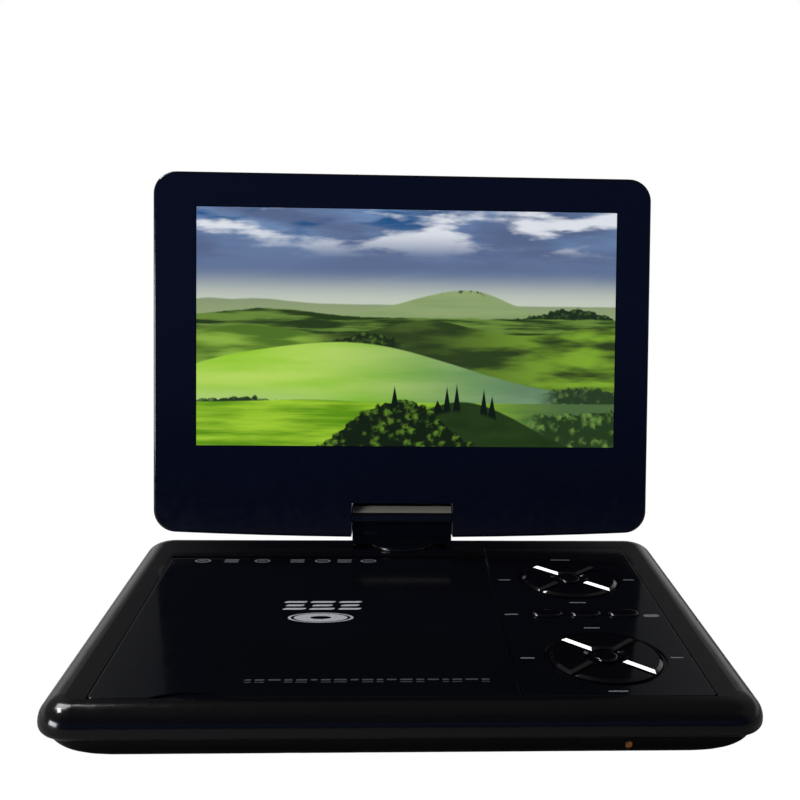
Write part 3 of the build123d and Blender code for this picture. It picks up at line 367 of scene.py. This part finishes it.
class Landscape(Paint):
    """Green hills under a cloudy sky, worked out from noise; x and y run from 0 to 1."""

    def __init__(self):
        super().__init__("picture", Specular_IOR_Level=0.3, Roughness=0.3)
        across, depth, height = self.split(self.place())
        along = depth * up_screen.y + height * up_screen.z
        start = tilt_axis.dot(up_screen) + picture_low
        self.x = (across - (picture_x - picture_w / 2)) / picture_w
        self.y = (along - start) / picture_h
        self.sky()
        self.far_hills()
        self.middle_hills()
        self.near_field()
        self.knoll()
        self.set(Base_Color=(0, 0, 0, 1), Emission_Color=self.pixels(), Emission_Strength=1.0)

    def flow(self, stretch_x, stretch_y, detail=4.0, seed=0.0):
        """Noise stretched by different amounts across and up the picture."""
        return self.noise(self.point(self.x * stretch_x, self.y * stretch_y, seed), 1.0, detail)

    def ridge(self, base, bumps, wobble=0.01, scale=6.0, seed=0.0):
        """The height of a hill's crest along x: a base, smooth bumps and a little noise."""
        crest = self.noise(self.point(self.x, seed), scale, 3.0) * (2 * wobble) + (base - wobble)
        for centre, width, height in bumps:
            offset = (self.x - centre) / width
            crest = crest + self.math("EXPONENT", offset * offset * -1.0) * height
        return crest

    def lay(self, mask, colour):
        self.colour = self.colours(mask, self.colour, colour)

    def under(self, crest, soft=0.004):
        return self.rise(crest - self.y, -soft, soft)

    def sky(self):
        top = self.rise(self.y, 0.72, 1.0)
        self.colour = self.colours(
            self.rise(self.y, 0.60, 0.76), srgb(196, 204, 190), srgb(98, 116, 152)
        )
        self.lay(top * 0.6, srgb(118, 152, 196))
        bank = self.flow(3.2, 9.0, 6, 2.0)
        self.lay(self.rise(bank, 0.38, 0.62) * self.rise(self.y, 0.66, 0.84), srgb(88, 104, 140))
        gaps = self.rise(self.flow(5.0, 14.0, 6, 9.0), 0.50, 0.64)
        self.lay(gaps * self.rise(self.y, 0.84, 0.96), srgb(30, 82, 134))
        wisps = self.flow(4.6, 10.0, 9, 5.0)
        bright = self.rise(wisps, 0.49, 0.62) * self.rise(self.y, 0.78, 0.92)
        self.lay(bright, srgb(224, 228, 236))

    def far_hills(self):
        haze = self.rise(self.y, 0.50, 0.68)
        left = self.ridge(0.600, [(0.14, 0.10, 0.02), (0.02, 0.05, 0.015)], 0.006, 9, 1.0)
        self.lay(self.under(left), self.colours(haze, srgb(150, 168, 118), srgb(132, 146, 116)))
        dome = self.ridge(0.545, [(0.60, 0.17, 0.100), (0.68, 0.09, 0.030)], 0.004, 11, 2.0)
        grass = self.colours(self.flow(4, 30, 4, 3.0), srgb(118, 142, 92), srgb(160, 180, 124))
        self.lay(self.under(dome), grass)
        crown = self.rise(self.flow(90, 30, 2, 4.0), 0.45, 0.6) * self.under(dome, 0.003)
        near_top = self.rise(self.y - dome, -0.018, -0.006) * self.rise(dome, 0.645, 0.66)
        self.lay(crown * near_top, srgb(70, 84, 66))
        wood = self.ridge(0.500, [(0.90, 0.13, 0.095), (0.73, 0.07, 0.02)], 0.008, 30, 3.0)
        self.trees(wood, 0.022, srgb(28, 46, 24), srgb(66, 88, 44))

    def middle_hills(self):
        band = self.ridge(0.545, [(0.17, 0.14, 0.035), (0.55, 0.20, 0.0)], 0.008, 24, 5.0)
        streaks = self.rise(self.flow(5, 34, 5, 7.0), 0.42, 0.60)
        self.lay(self.under(band), self.colours(streaks, srgb(38, 58, 22), srgb(104, 136, 56)))
        rolling = self.ridge(0.470, [(0.55, 0.13, 0.065), (0.98, 0.12, 0.05)], 0.006, 8, 8.0)
        swells = self.rise(self.flow(4.5, 12, 3, 11.0), 0.40, 0.62)
        lit = self.colours(self.rise(self.x, 0.5, 1.0), srgb(70, 90, 36), srgb(128, 170, 48))
        self.lay(self.under(rolling), self.colours(swells, srgb(44, 62, 26), lit))
        hedge = self.ridge(0.445, [(0.40, 0.06, 0.040)], 0.012, 40, 12.0)
        here = self.rise(self.x, 0.24, 0.28) * self.rise(self.x, 0.50, 0.46)
        self.trees(hedge, 0.026, srgb(26, 42, 18), srgb(74, 100, 38), here)
        left = self.ridge(0.455, [(0.12, 0.16, 0.055)], 0.004, 8, 13.0)
        left_light = self.rise(self.flow(4, 16, 3, 14.0), 0.38, 0.62)
        meadow = self.colours(left_light, srgb(78, 112, 34), srgb(138, 176, 66))
        self.lay(self.under(left) * self.rise(self.x, 0.34, 0.24), meadow)
        big = self.ridge(0.190, [(0.34, 0.40, 0.250), (0.02, 0.15, 0.035)], 0.004, 5, 15.0)
        across = self.rise(self.x, 0.18, 0.85)
        sunny = self.colours(across, srgb(138, 198, 30), srgb(92, 126, 98))
        waves = self.rise(self.flow(2.2, 9, 4, 17.0), 0.30, 0.70)
        pale = self.colours(across, srgb(182, 216, 96), srgb(116, 148, 114))
        self.lay(self.under(big), self.colours(waves, sunny, pale))
        misty = self.rise(self.y, 0.28, 0.17) * self.rise(self.x, 0.42, 0.20)
        self.lay(self.under(big) * misty * 0.55, srgb(190, 208, 150))
        bushes = self.ridge(0.235, [(0.93, 0.09, 0.020)], 0.010, 26, 18.0)
        self.trees(bushes, 0.030, srgb(40, 60, 34), srgb(84, 112, 60), self.rise(self.x, 0.80, 0.87))

    def near_field(self):
        line = self.ridge(0.195, [(0.10, 0.07, 0.018)], 0.010, 45, 20.0)
        self.trees(line, 0.030, srgb(36, 54, 30), srgb(96, 124, 66), self.rise(self.x, 0.25, 0.19))
        field = self.ridge(0.185, [(0.26, 0.12, 0.012)], 0.002, 6, 21.0)
        rows = self.rise(self.flow(4, 24, 5, 22.0), 0.34, 0.66)
        grass = self.colours(rows, srgb(88, 142, 14), srgb(160, 204, 50))
        dim = self.rise(self.x, 0.55, 0.90)
        self.lay(self.under(field), self.colours(dim, grass, srgb(76, 106, 62)))
        thicket = self.ridge(0.140, [(0.98, 0.10, 0.020)], 0.012, 20, 23.0)
        self.trees(thicket, 0.040, srgb(36, 58, 26), srgb(104, 140, 64), self.rise(self.x, 0.76, 0.84))

    def knoll(self):
        """A wooded rise with a few slim trees on it, and its shaded slope to the right."""
        slope = self.ridge(-0.06, [(0.63, 0.22, 0.250)], 0.004, 12, 24.0)
        shade = self.colours(self.flow(10, 16, 5, 25.0), srgb(18, 34, 12), srgb(46, 72, 24))
        self.lay(self.under(slope), shade)
        wood = self.ridge(-0.04, [(0.50, 0.13, 0.235), (0.37, 0.08, 0.070)], 0.008, 14, 26.0)
        self.trees(wood, 0.034, srgb(16, 30, 10), srgb(92, 130, 38))
        self.slim_trees(self.math("MAXIMUM", wood, slope))

    def trees(self, crest, size, dark, light, mask=1.0):
        """Trees up to a lumpy crest: round crowns lit from the upper left, dark between."""
        across = self.x * (picture_w / picture_h / size)
        up = self.y / size
        ragged = self.noise(self.point(across * 2.0, up * 2.0), 1.0, 5.0)
        across = across + ragged * 0.9
        crown = self.cells(self.point(across, up), 1.0)
        lit = self.cells(self.point(across + 0.2, up - 0.25), 1.0)
        glow = self.rise(lit + ragged * 1.1, 1.20, 0.55) * self.rise(crown, 0.75, 0.40)
        top = crest + (0.35 - crown) * (size * 0.9)
        self.lay(self.under(top) * mask, self.colours(glow, dark, light))

    def slim_trees(self, ground):
        """Slim dark trees of uneven height, one in about every third cell along x."""
        cells = 46.0
        cell = self.math("FLOOR", self.x * cells)
        chance = self.node("TexWhiteNoise", "Value", {"Vector": self.point(cell, 3.0)})
        shift = self.node("TexWhiteNoise", "Value", {"Vector": self.point(cell, 8.0)})
        offset = self.math("FRACT", self.x * cells) - 0.35 - shift * 0.3
        tall = self.rise(chance, 0.50, 0.95) * 0.12
        over = self.y - ground
        width = (1.0 - over / (tall + 0.001)) * 0.34
        tree = self.rise(width - self.math("ABSOLUTE", offset), 0.0, 0.10)
        here = self.rise(self.x, 0.42, 0.44) * self.rise(self.x, 0.74, 0.72)
        stands = self.rise(over, -0.05, -0.03) * self.rise(tall, 0.0, 0.02)
        self.lay(tree * here * stands, srgb(12, 24, 12))

    def pixels(self):
        """Darkens thin lines between the display's rows."""
        rows = self.math("PINGPONG", self.y * 240.0, 1.0)
        return self.colours(self.rise(rows, 0.0, 0.3) * 0.06, self.colour, srgb(10, 14, 24))


def picture_layer():
    """The lit face of the display: a flat sheet just in front of the panel, left out of reflections."""
    columns = 36
    rows = 20
    bm = bmesh.new()
    middle = Vector((picture_x, tilt_axis.y, tilt_axis.z))
    middle += up_screen * (picture_low + picture_h / 2) + out_of_screen * picture_forward
    turn = Matrix((Vector((1, 0, 0)), up_screen, out_of_screen)).transposed().to_4x4()
    bmesh.ops.create_grid(
        bm,
        x_segments=columns,
        y_segments=rows,
        size=0.5,
        matrix=Matrix.Translation(middle) @ turn @ Matrix.Diagonal((picture_w, picture_h, 1, 1)),
    )
    sheet = new_piece("picture_layer", bm, Landscape().material, "screen")
    sheet.visible_glossy = False
    sheet.visible_diffuse = False


# --- small meshes -----------------------------------------------------------------------


def new_piece(name, bm, material, body):
    bmesh.ops.recalc_face_normals(bm, faces=bm.faces)
    mesh = bpy.data.meshes.new(name)
    bm.to_mesh(mesh)
    bm.free()
    thing = bpy.data.objects.new(name, mesh)
    bpy.context.scene.collection.objects.link(thing)
    thing.data.materials.append(material)
    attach(thing, body)
    return thing


def ink(bm, outline, z):
    """A printed shape: a flat outline on the deck, raised by the ink's thickness."""
    low = [bm.verts.new((x, y, z)) for x, y in outline]
    high = [bm.verts.new((x, y, z + ink_t)) for x, y in outline]
    bm.faces.new(high)
    bm.faces.new(low[::-1])
    for i in range(len(low)):
        j = (i + 1) % len(low)
        bm.faces.new((low[i], low[j], high[j], high[i]))


def bar(x, y, length, width, slant=0.0):
    """A bar with round ends; slant leans its ends over."""
    points = []
    r = width / 2
    for side, start in ((1, -90), (-1, 90)):
        for step in range(7):
            turn = radians(start + 30 * step)
            dy = r * sin(turn)
            points.append((x + side * (length / 2 - r) + r * cos(turn) + slant * dy, y + dy))
    return points


def ring(bm, x, y, outer, inner, squash, z):
    """A raised ring, as quads between an outer and an inner ellipse."""
    count = 48
    turns = [radians(360 * i / count) for i in range(count)]
    loops = []
    for r, height in ((outer, 0), (inner, 0), (inner, ink_t), (outer, ink_t)):
        loops.append([bm.verts.new((x + r * cos(t), y + r * squash * sin(t), z + height)) for t in turns])
    for i in range(count):
        j = (i + 1) % count
        for a, b in ((0, 1), (1, 2), (2, 3), (3, 0)):
            bm.faces.new((loops[a][i], loops[a][j], loops[b][j], loops[b][i]))


# --- printed marks ----------------------------------------------------------------------


def lid_emblem():
    """A generic mark on the lid: a flattened ring and disc with three groups of bars over them."""
    bm = bmesh.new()
    x, y = emblem
    z = deck_z
    for i, length in enumerate((9.0, 10.0, 9.0)):
        middle = x + (i - 1) * emblem_pitch
        for row, share in enumerate((1.0, 0.8, 1.0)):
            ink(bm, bar(middle, y + (7.6 - 3.6 * row) * MM, length * share * MM, 1.7 * MM, 0.7), z)
    ring(bm, x, y - 8.6 * MM, 13.0 * MM, 11.9 * MM, emblem_squash, z)
    ring(bm, x, y - 8.6 * MM, 10.6 * MM, 4.2 * MM, emblem_squash, z)
    new_piece("lid_emblem", bm, white_ink, "lid")


def lid_legend():
    """A row of dashes where a legend would be printed along the lid's front."""
    bm = bmesh.new()
    x = legend_start
    for i in range(19):
        length = (2.4 + 2.1 * ((i * 7) % 5) / 4) * MM
        ink(bm, bar(x + length / 2, legend_y, length, 1.0 * MM), deck_z)
        if i % 3 != 2:
            ink(bm, bar(x + length / 2, legend_y - 1.7 * MM, length, 0.5 * MM), deck_z)
        x += length + 1.1 * MM
    new_piece("lid_legend", bm, faint_ink, "lid")


def lid_icons():
    """Seven small marks along the lid's rear: rings with a bar inside, and groups of bars."""
    bm = bmesh.new()
    for i, x in enumerate((-91, -78, -64, -48, -36.5, -26.5, -15.5)):
        centre = x * MM
        if i % 2 == 0:
            ring(bm, centre, icons_y, 3.6 * MM, 2.7 * MM, icon_squash, deck_z)
            ink(bm, bar(centre, icons_y, 3.6 * MM, 0.8 * MM), deck_z)
        else:
            for row in (-1, 0, 1):
                ink(bm, bar(centre, icons_y + row * 1.5 * MM, 6.4 * MM, 0.7 * MM, 0.5), deck_z)
    new_piece("lid_icons", bm, grey_ink, "lid")


def key_labels():
    """Short dashes round the two pads and beside the oval keys."""
    pads = {}
    for pad in ("upper", "lower"):
        low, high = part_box(f"{pad}_pad_centre")
        pads[pad] = (low + high) / 2
    oval_low, oval_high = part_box("oval_button_middle")
    ovals = (oval_low + oval_high) / 2
    bm = bmesh.new()
    for centre in pads.values():
        for dx, dy, length in ((-28.8, 0, 5.4), (26.4, 0, 5.0), (-1.0, -26.2, 7.0)):
            ink(bm, bar(centre.x + dx * MM, centre.y + dy * MM, length * MM, mark_w), deck_z)
    top = pads["upper"]
    ink(bm, bar(top.x, top.y + 25.6 * MM, 9 * MM, mark_w), deck_z)
    ink(bm, bar(ovals.x - 30.0 * MM, ovals.y, 5.6 * MM, mark_w), deck_z)
    ink(bm, bar(ovals.x + 26.6 * MM, ovals.y - 1.5 * MM, 6.6 * MM, 2.6 * MM), deck_z)
    ink(bm, bar(ovals.x, ovals.y - 13.6 * MM, 6.4 * MM, mark_w), deck_z)
    new_piece("key_labels", bm, grey_ink, "base")


# --- studio -----------------------------------------------------------------------------


def floor():
    """A round table top: plain white to the camera, and grey to everything else."""
    bm = bmesh.new()
    bmesh.ops.create_circle(bm, cap_ends=True, segments=96, radius=floor_r)
    mesh = bpy.data.meshes.new("floor")
    bm.to_mesh(mesh)
    bm.free()
    table = bpy.data.objects.new("floor", mesh)
    bpy.context.scene.collection.objects.link(table)
    paint = Paint("floor", Roughness=0.9, Specular_IOR_Level=0.1)
    cloud = paint.noise(paint.place(), 8, 3)
    seen = paint.node("LightPath", "Is Camera Ray", {})
    card = paint.colours(cloud, (0.30, 0.30, 0.30, 1), (0.32, 0.32, 0.32, 1))
    paint.set(Base_Color=paint.colours(seen, card, (0, 0, 0, 1)))
    paint.set(Emission_Color=(1, 1, 1, 1), Emission_Strength=seen)
    table.data.materials.append(paint.material)


def surroundings():
    """White to the camera; in reflections a dim room, pale at the sides and bluish in front."""
    world = bpy.data.worlds.new("studio")
    bpy.context.scene.world = world
    world.use_nodes = True
    graph = Graph(world.node_tree)
    x, y, z = graph.split(graph.node("TexCoord", "Generated", {}))
    aside = graph.rise(graph.math("ABSOLUTE", x), 0.10, 0.45)
    room = graph.colours(aside, (0.010, 0.011, 0.016, 1), (0.20, 0.20, 0.20, 1))
    low = graph.rise(z, 0.30, 0.20) * graph.rise(y, -0.15, 0.35)
    room = graph.colours(low * aside, room, (0.6, 0.6, 0.6, 1))
    room = graph.colours(graph.rise(z, 0.70, 0.90), room, (0.095, 0.093, 0.088, 1))
    wall = graph.colours(graph.rise(z, 0.0, 0.2), (0.02, 0.03, 0.08, 1), (0.05, 0.08, 0.22, 1))
    wall = graph.colours(graph.rise(z, 0.34, 0.44), wall, (0.05, 0.05, 0.06, 1))
    room = graph.colours(graph.rise(y, -0.25, -0.60), room, wall)
    seen = graph.node("LightPath", "Is Camera Ray", {})
    colour = graph.colours(seen, room, (1, 1, 1, 1))
    graph.feed(world.node_tree.nodes["Background"].inputs["Color"], colour)


def soft_light(name, place, aim, size, power, colour=(1, 1, 1)):
    light = bpy.data.lights.new(name, "AREA")
    light.shape = "RECTANGLE"
    light.size, light.size_y = size
    light.energy = power
    light.color = colour
    lamp = bpy.data.objects.new(name, light)
    bpy.context.scene.collection.objects.link(lamp)
    lamp.location = place
    lamp.rotation_euler = (Vector(aim) - Vector(place)).to_track_quat("-Z", "Y").to_euler()


def lights():
    soft_light("lamp", (-0.695, -0.005, 0.815), (0.075, -0.02, 0.02), (0.30, 0.12), 4)
    soft_light("window", (-1.05, -0.62, 0.22), (0, 0, 0.02), (0.5, 0.3), 9, (0.96, 0.98, 1))
    soft_light("fill", (-0.75, 0.35, 1.1), (0, 0, 0), (0.5, 0.5), 8)


def camera():
    """The photograph's viewpoint: low in front of the player, a little to its left."""
    data = bpy.data.cameras.new("camera")
    data.sensor_width = 36
    data.lens = camera_lens
    data.shift_x = camera_shift
    data.clip_start = 0.01
    view = bpy.data.objects.new("camera", data)
    bpy.context.scene.collection.objects.link(view)
    yaw = Matrix.Rotation(camera_yaw, 4, "Z")
    pitch = Matrix.Rotation(camera_pitch, 4, "X")
    roll = Matrix.Rotation(camera_roll, 4, "Z")
    view.matrix_world = Matrix.Translation(camera_place) @ yaw @ pitch @ roll
    bpy.context.scene.camera = view


bpy.context.scene.view_settings.view_transform = "Standard"
paint_nodes()
picture_layer()
lid_emblem()
lid_legend()
lid_icons()
key_labels()
floor()
surroundings()
lights()
camera()
